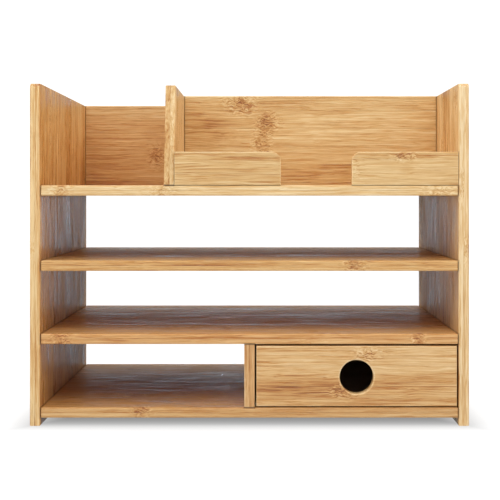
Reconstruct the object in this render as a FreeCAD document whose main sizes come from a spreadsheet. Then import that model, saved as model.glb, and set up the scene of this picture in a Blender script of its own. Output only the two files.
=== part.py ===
"""A bamboo desk hutch: two side panels carrying four shelves, a divided top deck with two front lips,
and a drawer with a finger hole in the lower right bay.

Millimetres, +Z up. The origin is under the middle of the hutch, at the height of its feet, and the
front faces -Y. Each board is a body with its lowest corner at its own origin, so all its sketches are
in positive numbers, and its Placement puts it in the hutch.
"""

import FreeCAD, Part
import math
import os
import re
from collections import namedtuple

import Sketcher

V = FreeCAD.Vector

SIZES = (
    ("overall_width", 420, "outside faces of the side panels"),
    ("overall_depth", 253, "front edges to rear edges"),
    ("overall_height", 327.5, "feet to the top of the side panels"),
    ("board", 10, "thickness of the structural boards"),
    ("thin_board", 7, "thickness of the back panel, the partition and the drawer box"),
    ("foot_height", 7.5, "the side panels reach this far below the bottom shelf"),
    ("lower_gap", 60.5, "clear height over the bottom shelf"),
    ("middle_gap", 60, "clear height over the middle shelf"),
    ("upper_gap", 62, "clear height over the upper shelf"),
    ("left_bay", 118, "clear width of the left compartment on the deck"),
    ("partition_setback", 125, "front edge to the partition's front face"),
    ("divider_rake", 19, "the deck divider's front edge leans back this far at its top"),
    ("lip_length", 102, "length of each front lip"),
    ("lip_height", 32, "height of each front lip"),
    ("lip_board", 8, "thickness of each front lip"),
    ("lip_corner", 9, "radius of each lip's free top corner"),
    ("shelf_round", 1.8, "edge radius of the shelves"),
    ("panel_round", 1, "edge radius of the other boards"),
    ("panel_corner", 4, "radius of the side panels' top corners"),
    ("drawer_side_gap", 1.6, "gap on each side of the drawer front"),
    ("drawer_top_gap", 1.6, "gap over the drawer front"),
    ("drawer_bottom_gap", 1.2, "gap under the drawer front"),
    ("drawer_slide_gap", 0.3, "running clearance under the drawer's sides"),
    ("drawer_side_inset", 0.2, "the drawer's sides stand in from the ends of its front"),
    ("drawer_length", 235, "drawer front to the rear of the drawer box"),
    ("drawer_box_height", 57, "height of the drawer's sides"),
    ("drawer_floor", 3, "thickness of the drawer's bottom"),
    ("groove_depth", 4, "depth of the grooves that hold the drawer's bottom"),
    ("groove_height", 4, "drawer sides' lower edges to the groove"),
    ("groove_play", 0.1, "the groove is this much wider than the drawer's bottom"),
    ("finger_hole", 32.4, "diameter of the hole in the drawer front"),
    ("finger_hole_height", 28, "the drawer front's lower edge to the middle of that hole"),
    ("finger_round", 1.3, "edge radius of the finger hole"),
    ("stop_length", 150, "length of the batten that stops the drawer"),
    ("stop_section", 10, "height and depth of that batten"),
    ("stop_gap", 0.5, "closed drawer to the batten"),
    ("screw_inset", 40, "shelf screws to the front and rear edges"),
    ("divider_inset", 65, "divider screws and dowels to the front and rear edges"),
    ("edge_screw_inset", 50, "screws in the shelf's rear edge to the side panels"),
    ("partition_screw_inset", 70, "partition screws to the partition's ends"),
    ("lip_dowel_inset", 20, "lip dowels to the lip's ends"),
    ("stop_screw_inset", 25, "batten screws to the batten's ends"),
    ("low_fixing", 24, "deck to the lower fixings of the upright boards"),
    ("high_fixing", 74, "deck to the upper fixings of the upright boards"),
    ("drawer_low_dowel", 18, "drawer sides' lower edges to the lower dowels"),
    ("drawer_high_dowel", 44, "drawer sides' lower edges to the upper dowels"),
    ("long_screw", 3.5, "diameter of the long screws"),
    ("long_screw_length", 30, "length of the long screws"),
    ("long_screw_head", 6.8, "head diameter of the long screws"),
    ("thin_screw", 3, "diameter of the thin screws"),
    ("thin_screw_length", 25, "length of the thin screws"),
    ("short_screw_length", 16, "length of the drawer stop's thin screws"),
    ("thin_screw_head", 5.8, "head diameter of the thin screws"),
    ("head_sink", 0.1, "screw heads lie this far below the surface"),
    ("head_play", 0.7, "countersinks are this much wider than the heads"),
    ("shank_play", 0.4, "holes for a screw's shank are this much wider than it"),
    ("fit_play", 0.1, "holes for threads and dowels are this much wider than those"),
    ("end_play", 0.2, "blind holes are this much deeper than what they hold"),
    ("thick_dowel", 6, "diameter of the shelf dowels"),
    ("thick_dowel_length", 20, "length of the shelf dowels"),
    ("thin_dowel", 4, "diameter of the dowels in thin boards"),
    ("thin_dowel_length", 16, "length of the dowels in thin boards"),
    ("dowel_seat", 6, "how far a dowel goes into the face of a board"),
    ("thin_dowel_seat", 4, "how far a dowel goes into the face of a drawer side"),
    ("dowel_chamfer", 0.6, "chamfer at a dowel's ends"),
    ("screw_rim", 0.2, "height of the cylindrical rim of a screw head"),
    ("thread_pitch", 1.4, "pitch of the screw threads"),
    ("thread_depth", 0.4, "depth of the screw threads"),
    ("thread_start", 9, "screw head to the first turn of the thread"),
    ("recess_depth", 1.6, "depth of the cross recess"),
    ("recess_taper", 9, "degrees that the walls of the recess lean in"),
)

# Each arm of a cross recess, as shares of the screw head's diameter.
CROSS_REACH = 0.28
CROSS_HALF_WIDTH = 0.075

# A cut has to remove at least this share of the volume that it is drawn with.
LEAST_SHARE = 0.9
TINY = 1e-6

# Places that several boards share, as expressions in the sheet's aliases.
HALF_WIDTH = "overall_width / 2"
FRONT = "-overall_depth / 2"
CLEAR_WIDTH = "overall_width - 2 * board"
BOTTOM_SHELF_Z = "foot_height"
MIDDLE_SHELF_Z = f"{BOTTOM_SHELF_Z} + board + lower_gap"
UPPER_SHELF_Z = f"{MIDDLE_SHELF_Z} + board + middle_gap"
TOP_SHELF_Z = f"{UPPER_SHELF_Z} + board + upper_gap"
SHELF_HEIGHTS = {
    "bottom_shelf": BOTTOM_SHELF_Z,
    "middle_shelf": MIDDLE_SHELF_Z,
    "upper_shelf": UPPER_SHELF_Z,
    "top_shelf": TOP_SHELF_Z,
}
DECK_Z = f"{TOP_SHELF_Z} + board"
DECK_HEIGHT = f"overall_height - ({DECK_Z})"
DIVIDER_X = f"-{HALF_WIDTH} + board + left_bay"
RIGHT_BAY = f"{CLEAR_WIDTH} - left_bay - board"
BACK_PANEL_Y = "overall_depth / 2 - thin_board"
BAY_FLOOR_Z = f"{BOTTOM_SHELF_Z} + board"
DRAWER_FRONT_X = "board / 2 + drawer_side_gap"
DRAWER_FRONT_WIDTH = f"({CLEAR_WIDTH} - board) / 2 - 2 * drawer_side_gap"
DRAWER_BOX_X = f"{DRAWER_FRONT_X} + drawer_side_inset"
DRAWER_BOX_WIDTH = f"{DRAWER_FRONT_WIDTH} - 2 * drawer_side_inset"
DRAWER_BOX_Z = f"{BAY_FLOOR_Z} + drawer_slide_gap"
DRAWER_INSIDE = f"{DRAWER_BOX_WIDTH} - 2 * thin_board"
DRAWER_REAR_Y = f"{FRONT} + drawer_length"
STOP_X = f"board / 2 + (({CLEAR_WIDTH} - board) / 2 - stop_length) / 2"
STOP_Y = f"{DRAWER_REAR_Y} + stop_gap"

# The sketch plane for work on each side of a board, and whether a cut into the board runs along the
# plane's normal.
SIDES = {
    "left": ("YZ_Plane", True),
    "right": ("YZ_Plane", False),
    "front": ("XZ_Plane", False),
    "back": ("XZ_Plane", True),
    "bottom": ("XY_Plane", True),
    "top": ("XY_Plane", False),
}
DIRECTIONS = {
    "left": V(-1, 0, 0),
    "right": V(1, 0, 0),
    "forward": V(0, -1, 0),
    "back": V(0, 1, 0),
    "down": V(0, 0, -1),
    "up": V(0, 0, 1),
}
ALONG = {"x": "XLength", "y": "YLength", "z": "ZLength"}

Board = namedtuple("Board", "body size")


def in_sheet(expression):
    """Writes the sheet's name in front of each alias."""
    return re.sub(r"[a-z_]+", lambda alias: f"Sizes.{alias.group()}", str(expression))


def bind(feature, property_name, expression):
    feature.setExpression(property_name, in_sheet(expression))


def number(doc, expression):
    return float(doc.Sizes.evalExpression(in_sheet(expression)))


def make_sheet(doc):
    sheet = doc.addObject("Spreadsheet::Sheet", "Sizes")
    for row, (alias, size, meaning) in enumerate(SIZES, start=1):
        sheet.set(f"A{row}", meaning)
        sheet.set(f"B{row}", str(size))
        sheet.setAlias(f"B{row}", alias)
    doc.recompute()


# Sketches and features.


def new_sketch(body, plane, offset="0"):
    """A sketch on one of the body's own origin planes, or at an offset along its normal."""
    sketch = body.newObject("Sketcher::SketchObject", "sketch")
    support = next(f for f in body.Origin.OriginFeatures if f.Role == plane)
    sketch.AttachmentSupport = [(support, "")]
    sketch.MapMode = "FlatFace"
    bind(sketch, "AttachmentOffset.Base.z", offset)
    return sketch


def pin_point(sketch, geometry, point, place):
    """Holds a point of the sketch at a place given as two expressions."""
    for kind, axis, expression in zip(("DistanceX", "DistanceY"), (-2, -1), place):
        if expression == "0":
            sketch.addConstraint(Sketcher.Constraint("PointOnObject", geometry, point, axis))
            continue
        size = number(sketch.Document, expression)
        index = sketch.addConstraint(Sketcher.Constraint(kind, -1, 1, geometry, point, size))
        bind(sketch, f"Constraints[{index}]", expression)


def draw_outline(sketch, corners):
    """A closed outline of straight lines through corners given as pairs of expressions."""
    places = [V(*(number(sketch.Document, e) for e in corner), 0) for corner in corners]
    ends = places[1:] + places[:1]
    lines = [sketch.addGeometry(Part.LineSegment(a, b)) for a, b in zip(places, ends)]
    for line, following in zip(lines, lines[1:] + lines[:1]):
        sketch.addConstraint(Sketcher.Constraint("Coincident", line, 2, following, 1))
    for line, corner in zip(lines, corners):
        pin_point(sketch, line, 1, corner)


def draw_rectangle(sketch, left, bottom, width, height):
    right, top = f"{left} + {width}", f"{bottom} + {height}"
    if left == "0":
        right = width
    if bottom == "0":
        top = height
    draw_outline(sketch, [(left, bottom), (right, bottom), (right, top), (left, top)])


def draw_circles(sketch, centres, diameter):
    for centre in centres:
        place = V(*(number(sketch.Document, e) for e in centre), 0)
        radius = number(sketch.Document, diameter) / 2
        circle = sketch.addGeometry(Part.Circle(place, V(0, 0, 1), radius))
        pin_point(sketch, circle, 3, centre)
        index = sketch.addConstraint(Sketcher.Constraint("Diameter", circle, 2 * radius))
        bind(sketch, f"Constraints[{index}]", diameter)


def new_feature(body, kind, profile):
    body.Document.recompute()
    feature = body.newObject(f"PartDesign::{kind}", kind.lower())
    feature.Profile = profile
    return feature


def pad(body, sketch, length):
    feature = new_feature(body, "Pad", sketch)
    bind(feature, "Length", length)
    return feature


def side_sketch(board, side):
    """A sketch on one side of a board, in the board's own coordinates."""
    far_side = {"right": board.size[0], "back": f"-({board.size[1]})", "top": board.size[2]}
    return new_sketch(board.body, SIDES[side][0], far_side.get(side, "0"))


def check_cut(board, feature, least_volume):
    """Stops the script if a cut took away less than it should, as when it points out of the board."""
    before = board.body.Tip.BaseFeature.Shape.Volume if board.body.Tip.BaseFeature else 0
    board.body.Document.recompute()
    removed = before - feature.Shape.Volume
    if removed < least_volume:
        raise RuntimeError(f"{board.body.Label}: {feature.Label} removed only {removed:.1f} mm3")


def cut(board, side, sketch, depth, least_volume):
    feature = new_feature(board.body, "Pocket", sketch)
    feature.Reversed = SIDES[side][1]
    bind(feature, "Length", depth)
    check_cut(board, feature, least_volume)
    return feature


def drill(board, side, centres, diameter, depth):
    """Round holes into one side of a board."""
    doc = board.body.Document
    sketch = side_sketch(board, side)
    draw_circles(sketch, centres, diameter)
    area = math.pi * number(doc, diameter) ** 2 / 4
    least_volume = LEAST_SHARE * len(centres) * area * number(doc, depth)
    return cut(board, side, sketch, depth, least_volume)


def drill_countersunk(board, side, centres, screw, head):
    """Holes right through a board for countersunk screws whose heads lie on the given side."""
    doc = board.body.Document
    sketch = side_sketch(board, side)
    draw_circles(sketch, centres, f"{screw} + shank_play")
    feature = new_feature(board.body, "Hole", sketch)
    feature.Threaded = False
    feature.DepthType = "ThroughAll"
    feature.Reversed = SIDES[side][1]
    bind(feature, "Diameter", f"{screw} + shank_play")
    feature.HoleCutType = "Countersink"
    feature.HoleCutCustomValues = True
    feature.HoleCutCountersinkAngle = 90
    bind(feature, "HoleCutDiameter", f"{head} + head_play")
    shank_area = math.pi * number(doc, screw) ** 2 / 4
    check_cut(board, feature, len(centres) * shank_area * number(doc, "thin_board"))


def round_edges(board, radius, chosen):
    """Rounds the edges of the board's last feature that the function chosen accepts."""
    board.body.Document.recompute()
    base = board.body.Tip
    names = [f"Edge{i}" for i, edge in enumerate(base.Shape.Edges, start=1) if chosen(edge)]
    fillet = board.body.newObject("PartDesign::Fillet", "fillet")
    fillet.Base = (base, names)
    bind(fillet, "Radius", radius)
    board.body.Document.recompute()


def every_edge(edge):
    return True


def around_faces(axis):
    """Chooses the edges round the two faces that look along an axis."""
    return lambda edge: getattr(edge.BoundBox, ALONG[axis]) < TINY


def along(axis, test):
    """Chooses the edges that run along an axis and whose middle passes a test."""
    others = [length for name, length in ALONG.items() if name != axis]

    def chosen(edge):
        straight = all(getattr(edge.BoundBox, length) < TINY for length in others)
        return straight and test(edge.BoundBox.Center)

    return chosen


def new_body(doc, label, place):
    body = doc.addObject("PartDesign::Body", label)
    body.Label = label
    for axis, expression in zip("xyz", place):
        bind(body, f"Placement.Base.{axis}", expression)
    return body


def plain_board(doc, label, size, place):
    """A rectangular board, its size and the place of its lowest corner given as expressions."""
    body = new_body(doc, label, place)
    sketch = new_sketch(body, "XY_Plane")
    draw_rectangle(sketch, "0", "0", size[0], size[1])
    pad(body, sketch, size[2])
    return Board(body, size)


# The carcass.


def front_and_back(inset):
    return inset, f"overall_depth - {inset}"


def side_panel(doc, name, outer_side):
    """A side panel. The heads of the shelf screws lie on its outer side, the dowels in its inner one."""
    inner_side = {"left": "right", "right": "left"}[outer_side]
    x = {"left": f"-{HALF_WIDTH}", "right": f"{HALF_WIDTH} - board"}[outer_side]
    size = ("board", "overall_depth", "overall_height")
    panel = plain_board(doc, name, size, (x, FRONT, "0"))
    half_height = number(doc, "overall_height / 2")
    round_edges(panel, "panel_corner", along("x", lambda middle: middle.z > half_height))
    round_edges(panel, "panel_round", around_faces("x"))
    levels = [f"{z} + board / 2" for z in SHELF_HEIGHTS.values()]
    screws = [(y, z) for z in levels for y in front_and_back("screw_inset")]
    drill_countersunk(panel, outer_side, screws, "long_screw", "long_screw_head")
    dowels = [("overall_depth / 2", z) for z in levels]
    drill(panel, inner_side, dowels, "thick_dowel + fit_play", "dowel_seat + end_play")
    rows = ["overall_depth - thin_board / 2"]
    if outer_side == "right":
        rows.append("partition_setback + thin_board / 2")
    thin_dowels = [(y, f"{DECK_Z} + {z}") for y in rows for z in ("low_fixing", "high_fixing")]
    drill(panel, inner_side, thin_dowels, "thin_dowel + fit_play", "dowel_seat + end_play")


def shelf(doc, name, depth):
    """A shelf with two screw pilots and a dowel hole in each end."""
    place = (f"-{HALF_WIDTH} + board", FRONT, SHELF_HEIGHTS[name])
    shelf_board = plain_board(doc, name, (CLEAR_WIDTH, depth, "board"), place)
    round_edges(shelf_board, "shelf_round", every_edge)
    pilots = [(y, "board / 2") for y in front_and_back("screw_inset")]
    pilot_depth = "long_screw_length - board + end_play"
    dowel_depth = "thick_dowel_length - dowel_seat + end_play"
    for end in ("left", "right"):
        drill(shelf_board, end, pilots, "long_screw + fit_play", pilot_depth)
        middle = [("overall_depth / 2", "board / 2")]
        drill(shelf_board, end, middle, "thick_dowel + fit_play", dowel_depth)
    return shelf_board


def top_shelf(doc):
    """The deck: screwed from below to what stands on it, and dowelled to the lips."""
    deck = shelf(doc, "top_shelf", "overall_depth - thin_board")
    divider = [("left_bay + board / 2", y) for y in front_and_back("divider_inset")]
    drill_countersunk(deck, "bottom", divider, "long_screw", "long_screw_head")
    row = "partition_setback + thin_board / 2"
    partition = [(x, row) for x in partition_screws("left_bay + board")]
    drill_countersunk(deck, "bottom", partition, "thin_screw", "thin_screw_head")
    lips = [(x, "lip_board / 2") for start in lip_starts() for x in lip_dowels(start)]
    drill(deck, "top", lips, "thin_dowel + fit_play", "dowel_seat + end_play")
    edge = [(x, "board / 2") for x in edge_screws()]
    pilot_depth = "thin_screw_length - thin_board + end_play"
    drill(deck, "back", edge, "thin_screw + fit_play", pilot_depth)


def partition_screws(start):
    return f"{start} + partition_screw_inset", f"{start} + {RIGHT_BAY} - partition_screw_inset"


def edge_screws():
    """The screws in the deck's rear edge, from the left end of the deck."""
    return "edge_screw_inset", f"({CLEAR_WIDTH}) / 2", f"{CLEAR_WIDTH} - edge_screw_inset"


def lip_starts():
    """The left ends of the two lips, from the left end of the deck."""
    return "left_bay + board", f"{CLEAR_WIDTH} - lip_length"


def lip_dowels(start):
    return f"{start} + lip_dowel_inset", f"{start} + lip_length - lip_dowel_inset"


def middle_shelf(doc):
    board = shelf(doc, "middle_shelf", "overall_depth")
    dowels = [(f"({CLEAR_WIDTH}) / 2", y) for y in front_and_back("divider_inset")]
    drill(board, "bottom", dowels, "thick_dowel + fit_play", "dowel_seat + end_play")


def bottom_shelf(doc):
    board = shelf(doc, "bottom_shelf", "overall_depth")
    divider = [(f"({CLEAR_WIDTH}) / 2", y) for y in front_and_back("divider_inset")]
    drill_countersunk(board, "bottom", divider, "long_screw", "long_screw_head")
    # The shelf's own coordinates start at the side panel's inner face and at the front edge.
    start = f"{STOP_X} + {HALF_WIDTH} - board"
    row = "drawer_length + stop_gap + stop_section / 2"
    pilots = [(f"{start} + {x}", row) for x in stop_screws()]
    pilot_depth = "short_screw_length - stop_section + end_play"
    drill(board, "top", pilots, "thin_screw + fit_play", pilot_depth)


def upper_divider(doc):
    """The upright board between the compartments of the deck, with a raked front edge."""
    depth, height = "overall_depth - thin_board", DECK_HEIGHT
    body = new_body(doc, "upper_divider", (DIVIDER_X, FRONT, DECK_Z))
    sketch = new_sketch(body, "YZ_Plane")
    draw_outline(sketch, [("0", "0"), (depth, "0"), (depth, height), ("divider_rake", height)])
    pad(body, sketch, "board")
    divider = Board(body, ("board", depth, height))
    round_edges(divider, "panel_round", around_faces("x"))
    pilots = [("board / 2", y) for y in front_and_back("divider_inset")]
    pilot_depth = "long_screw_length - board + end_play"
    drill(divider, "bottom", pilots, "long_screw + fit_play", pilot_depth)
    rear = [("board / 2", z) for z in ("low_fixing", "high_fixing")]
    pilot_depth = "thin_screw_length - thin_board + end_play"
    drill(divider, "back", rear, "thin_screw + fit_play", pilot_depth)
    row = "partition_setback + thin_board / 2"
    dowels = [(row, z) for z in ("low_fixing", "high_fixing")]
    drill(divider, "right", dowels, "thin_dowel + fit_play", "dowel_seat + end_play")


def partition(doc):
    """The upright board halfway back in the right compartment of the deck."""
    size = (RIGHT_BAY, "thin_board", DECK_HEIGHT)
    y = f"{FRONT} + partition_setback"
    board = plain_board(doc, "partition_panel", size, (f"{DIVIDER_X} + board", y, DECK_Z))
    round_edges(board, "panel_round", around_faces("y"))
    dowel_depth = "thin_dowel_length - dowel_seat + end_play"
    dowels = [("thin_board / 2", z) for z in ("low_fixing", "high_fixing")]
    for end in ("left", "right"):
        drill(board, end, dowels, "thin_dowel + fit_play", dowel_depth)
    pilots = [(x, "thin_board / 2") for x in ("partition_screw_inset", partition_screws("0")[1])]
    pilot_depth = "thin_screw_length - board + end_play"
    drill(board, "bottom", pilots, "thin_screw + fit_play", pilot_depth)


def back_panel(doc):
    """Closes the rear of the deck, and is screwed to the deck's rear edge and to the divider."""
    size = (CLEAR_WIDTH, "thin_board", f"{DECK_HEIGHT} + board")
    place = (f"-{HALF_WIDTH} + board", BACK_PANEL_Y, TOP_SHELF_Z)
    board = plain_board(doc, "back_panel", size, place)
    round_edges(board, "panel_round", around_faces("y"))
    dowel_depth = "thin_dowel_length - dowel_seat + end_play"
    levels = [f"board + {z}" for z in ("low_fixing", "high_fixing")]
    for end in ("left", "right"):
        dowels = [("thin_board / 2", z) for z in levels]
        drill(board, end, dowels, "thin_dowel + fit_play", dowel_depth)
    screws = [(x, "board / 2") for x in edge_screws()]
    screws += [("left_bay + board / 2", z) for z in levels]
    drill_countersunk(board, "back", screws, "thin_screw", "thin_screw_head")


def front_lip(doc, name, start, free_end_x):
    """A low lip along the deck's front edge, with its free top corner rounded."""
    size = ("lip_length", "lip_board", "lip_height")
    place = (f"-{HALF_WIDTH} + board + {start}", FRONT, DECK_Z)
    lip = plain_board(doc, name, size, place)
    corner = V(number(doc, free_end_x), 0, number(doc, "lip_height"))

    def at_corner(middle):
        return math.hypot(middle.x - corner.x, middle.z - corner.z) < 1

    round_edges(lip, "lip_corner", along("y", at_corner))
    round_edges(lip, "panel_round", around_faces("y"))
    dowels = [(x, "lip_board / 2") for x in ("lip_dowel_inset", "lip_length - lip_dowel_inset")]
    dowel_depth = "thin_dowel_length - dowel_seat + end_play"
    drill(lip, "bottom", dowels, "thin_dowel + fit_play", dowel_depth)


def lower_divider(doc):
    """The upright board beside the drawer, screwed from below and dowelled to the shelf above."""
    size = ("board", "overall_depth", "lower_gap")
    board = plain_board(doc, "lower_divider", size, ("-board / 2", FRONT, BAY_FLOOR_Z))
    round_edges(board, "panel_round", around_faces("x"))
    places = [("board / 2", y) for y in front_and_back("divider_inset")]
    pilot_depth = "long_screw_length - board + end_play"
    drill(board, "bottom", places, "long_screw + fit_play", pilot_depth)
    dowel_depth = "thick_dowel_length - dowel_seat + end_play"
    drill(board, "top", places, "thick_dowel + fit_play", dowel_depth)


def drawer_stop(doc):
    """A batten behind the drawer that keeps its front flush with the shelves."""
    size = ("stop_length", "stop_section", "stop_section")
    batten = plain_board(doc, "drawer_stop", size, (STOP_X, STOP_Y, BAY_FLOOR_Z))
    top = number(doc, "stop_section")
    round_edges(batten, "panel_round", along("x", lambda middle: middle.z > top - TINY))
    screws = [(x, "stop_section / 2") for x in stop_screws()]
    drill_countersunk(batten, "top", screws, "thin_screw", "thin_screw_head")


def stop_screws():
    return "stop_screw_inset", "stop_length - stop_screw_inset"


# The drawer.


def drawer_front(doc):
    height = "lower_gap - drawer_top_gap - drawer_bottom_gap"
    size = (DRAWER_FRONT_WIDTH, "board", height)
    place = (DRAWER_FRONT_X, FRONT, f"{BAY_FLOOR_Z} + drawer_bottom_gap")
    front = plain_board(doc, "drawer_front", size, place)
    round_edges(front, "panel_round", around_faces("y"))
    centre = (f"({DRAWER_FRONT_WIDTH}) / 2", "finger_hole_height")
    drill(front, "front", [centre], "finger_hole", "board")
    radius = number(doc, "finger_hole") / 2

    def rim(edge):
        return isinstance(edge.Curve, Part.Circle) and abs(edge.Curve.Radius - radius) < TINY

    round_edges(front, "finger_round", rim)
    # Heights in the front's own coordinates, which start higher than those of the drawer's sides.
    lift = "drawer_slide_gap - drawer_bottom_gap"
    sketch = side_sketch(front, "back")
    left = f"({DRAWER_FRONT_WIDTH} - ({DRAWER_INSIDE})) / 2 - groove_depth"
    width = f"{DRAWER_INSIDE} + 2 * groove_depth"
    groove = "drawer_floor + groove_play"
    draw_rectangle(sketch, left, f"groove_height + {lift}", width, groove)
    least_volume = LEAST_SHARE * number(doc, f"({width}) * ({groove}) * groove_depth")
    cut(front, "back", sketch, "groove_depth", least_volume)
    side = "drawer_side_inset + thin_board / 2"
    columns = (side, f"{DRAWER_FRONT_WIDTH} - ({side})")
    levels = [f"{z} + {lift}" for z in ("drawer_low_dowel", "drawer_high_dowel")]
    dowels = [(x, z) for x in columns for z in levels]
    drill(front, "back", dowels, "thin_dowel + fit_play", "dowel_seat + end_play")


def drawer_side(doc, name, inner_side):
    """A side of the drawer, grooved for the bottom and dowelled to the front and the back."""
    x = {"right": DRAWER_BOX_X, "left": f"{DRAWER_BOX_X} + {DRAWER_BOX_WIDTH} - thin_board"}
    length = "drawer_length - board"
    size = ("thin_board", length, "drawer_box_height")
    side = plain_board(doc, name, size, (x[inner_side], f"{FRONT} + board", DRAWER_BOX_Z))
    top = number(doc, "drawer_box_height")
    round_edges(side, "panel_round", along("y", lambda middle: middle.z > top - TINY))
    sketch = side_sketch(side, inner_side)
    draw_rectangle(sketch, "0", "groove_height", length, "drawer_floor + groove_play")
    least_volume = LEAST_SHARE * number(doc, f"({length}) * drawer_floor * groove_depth")
    cut(side, inner_side, sketch, "groove_depth", least_volume)
    levels = ("drawer_low_dowel", "drawer_high_dowel")
    front_dowels = [("thin_board / 2", z) for z in levels]
    dowel_depth = "thin_dowel_length - dowel_seat + end_play"
    drill(side, "front", front_dowels, "thin_dowel + fit_play", dowel_depth)
    back_dowels = [(f"{length} - thin_board / 2", z) for z in levels]
    drill(side, inner_side, back_dowels, "thin_dowel + fit_play", "thin_dowel_seat + end_play")


def drawer_back(doc):
    """Stands on the drawer's bottom, between the sides."""
    lift = "groove_height + drawer_floor + groove_play"
    size = (DRAWER_INSIDE, "thin_board", f"drawer_box_height - ({lift})")
    place = (f"{DRAWER_BOX_X} + thin_board", f"{DRAWER_REAR_Y} - thin_board", f"{DRAWER_BOX_Z} + {lift}")
    back = plain_board(doc, "drawer_back", size, place)
    top = number(doc, size[2])
    round_edges(back, "panel_round", along("x", lambda middle: middle.z > top - TINY))
    levels = [f"{z} - ({lift})" for z in ("drawer_low_dowel", "drawer_high_dowel")]
    dowel_depth = "thin_dowel_length - thin_dowel_seat + end_play"
    for end in ("left", "right"):
        dowels = [("thin_board / 2", z) for z in levels]
        drill(back, end, dowels, "thin_dowel + fit_play", dowel_depth)


def drawer_bottom(doc):
    """A thin panel held in the grooves of the front and the sides."""
    reach = "groove_depth - end_play"
    width = f"{DRAWER_INSIDE} + 2 * ({reach})"
    length = f"drawer_length - board + {reach}"
    x = f"{DRAWER_BOX_X} + thin_board - ({reach})"
    y = f"{FRONT} + board - ({reach})"
    z = f"{DRAWER_BOX_Z} + groove_height + groove_play / 2"
    plain_board(doc, "drawer_bottom", (width, length, "drawer_floor"), (x, y, z))


# Fasteners. A template points up from the origin, and each group links to one as often as it needs.


def screw_template(doc, name, screw, length, head):
    """A countersunk wood screw with a cross recess and a thread cut as rings."""
    body = new_body(doc, name, ("0", "0", "0"))
    shank, tip = f"{screw} / 2", f"{length} - {screw}"
    neck = f"screw_rim + ({head} - {screw}) / 2"
    profile = [("0", "0"), (f"{head} / 2", "0"), (f"{head} / 2", "screw_rim")]
    profile += [(shank, neck), (shank, tip), ("0", length)]
    sketch = new_sketch(body, "XZ_Plane")
    draw_outline(sketch, profile)
    turned = new_feature(body, "Revolution", sketch)
    turned.ReferenceAxis = (sketch, ["V_Axis"])
    ring = new_sketch(body, "XZ_Plane")
    outside = f"{shank} + thread_depth"
    flanks = [(outside, "thread_start"), (f"{shank} - thread_depth", "thread_start + thread_pitch / 2")]
    draw_outline(ring, [*flanks, (outside, "thread_start + thread_pitch")])
    groove = new_feature(body, "Groove", ring)
    groove.ReferenceAxis = (ring, ["V_Axis"])
    doc.recompute()
    thread = body.newObject("PartDesign::LinearPattern", "thread")
    thread.Originals = [groove]
    thread.Direction = (ring, ["V_Axis"])
    turns = int(number(doc, f"({tip} - thread_start) / thread_pitch"))
    thread.Occurrences = turns
    bind(thread, "Length", f"{turns - 1} * thread_pitch")
    body.Tip = thread
    cross = new_sketch(body, "XY_Plane")
    draw_cross(cross, head)
    recess = new_feature(body, "Pocket", cross)
    recess.Reversed = True
    recess.TaperAngle = -number(doc, "recess_taper")
    bind(recess, "Length", "recess_depth")
    doc.recompute()
    return body


def draw_cross(sketch, head):
    """The plus-shaped mouth of a cross recess."""
    arm, half = f"{head} * {CROSS_REACH}", f"{head} * {CROSS_HALF_WIDTH}"
    quarter = [(arm, half), (half, half), (half, arm)]
    corners = []
    for turn in range(4):
        for x, y in quarter:
            for _ in range(turn):
                x, y = f"-({y})", x
            corners.append((x, y))
    draw_outline(sketch, corners)


def dowel_template(doc, name, dowel, length):
    """A wooden dowel with chamfered ends."""
    body = new_body(doc, name, ("0", "0", "0"))
    wall, end = f"{dowel} / 2", f"{dowel} / 2 - dowel_chamfer"
    sketch = new_sketch(body, "XZ_Plane")
    profile = [("0", "0"), (end, "0"), (wall, "dowel_chamfer")]
    profile += [(wall, f"{length} - dowel_chamfer"), (end, length), ("0", length)]
    draw_outline(sketch, profile)
    turned = new_feature(body, "Revolution", sketch)
    turned.ReferenceAxis = (sketch, ["V_Axis"])
    doc.recompute()
    return body


def fasteners(doc, name, template, direction, places):
    """A group of identical fasteners, each starting at a place and pointing the same way."""
    links = []
    for place in places:
        link = doc.addObject("App::Link", f"{name}_link")
        link.LinkedObject = template
        rotation = FreeCAD.Rotation(V(0, 0, 1), DIRECTIONS[direction])
        link.Placement = FreeCAD.Placement(V(0, 0, 0), rotation)
        for axis, expression in zip("xyz", place):
            bind(link, f"Placement.Base.{axis}", expression)
        links.append(link)
    group = doc.addObject("Part::Compound", name)
    group.Label = name
    group.Links = links


def shelf_fasteners(doc, screw, dowel):
    levels = [f"{z} + board / 2" for z in SHELF_HEIGHTS.values()]
    rows = [f"{FRONT} + {y}" for y in front_and_back("screw_inset")]
    screws = {
        "left": (f"-{HALF_WIDTH} + head_sink", "right"),
        "right": (f"{HALF_WIDTH} - head_sink", "left"),
    }
    for side, (x, direction) in screws.items():
        places = [(x, y, z) for z in levels for y in rows]
        fasteners(doc, f"{side}_shelf_screws", screw, direction, places)
    dowels = {
        "left": (f"-{HALF_WIDTH} + board - dowel_seat", "right"),
        "right": (f"{HALF_WIDTH} - board + dowel_seat", "left"),
    }
    for side, (x, direction) in dowels.items():
        fasteners(doc, f"{side}_shelf_dowels", dowel, direction, [(x, "0", z) for z in levels])


def divider_fasteners(doc, screw, dowel):
    rows = [f"{FRONT} + {y}" for y in front_and_back("divider_inset")]
    places = [(f"{DIVIDER_X} + board / 2", y, f"{TOP_SHELF_Z} + head_sink") for y in rows]
    fasteners(doc, "upper_divider_screws", screw, "up", places)
    places = [("0", y, f"{BOTTOM_SHELF_Z} + head_sink") for y in rows]
    fasteners(doc, "lower_divider_screws", screw, "up", places)
    places = [("0", y, f"{MIDDLE_SHELF_Z} + dowel_seat") for y in rows]
    fasteners(doc, "lower_divider_dowels", dowel, "down", places)


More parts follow.
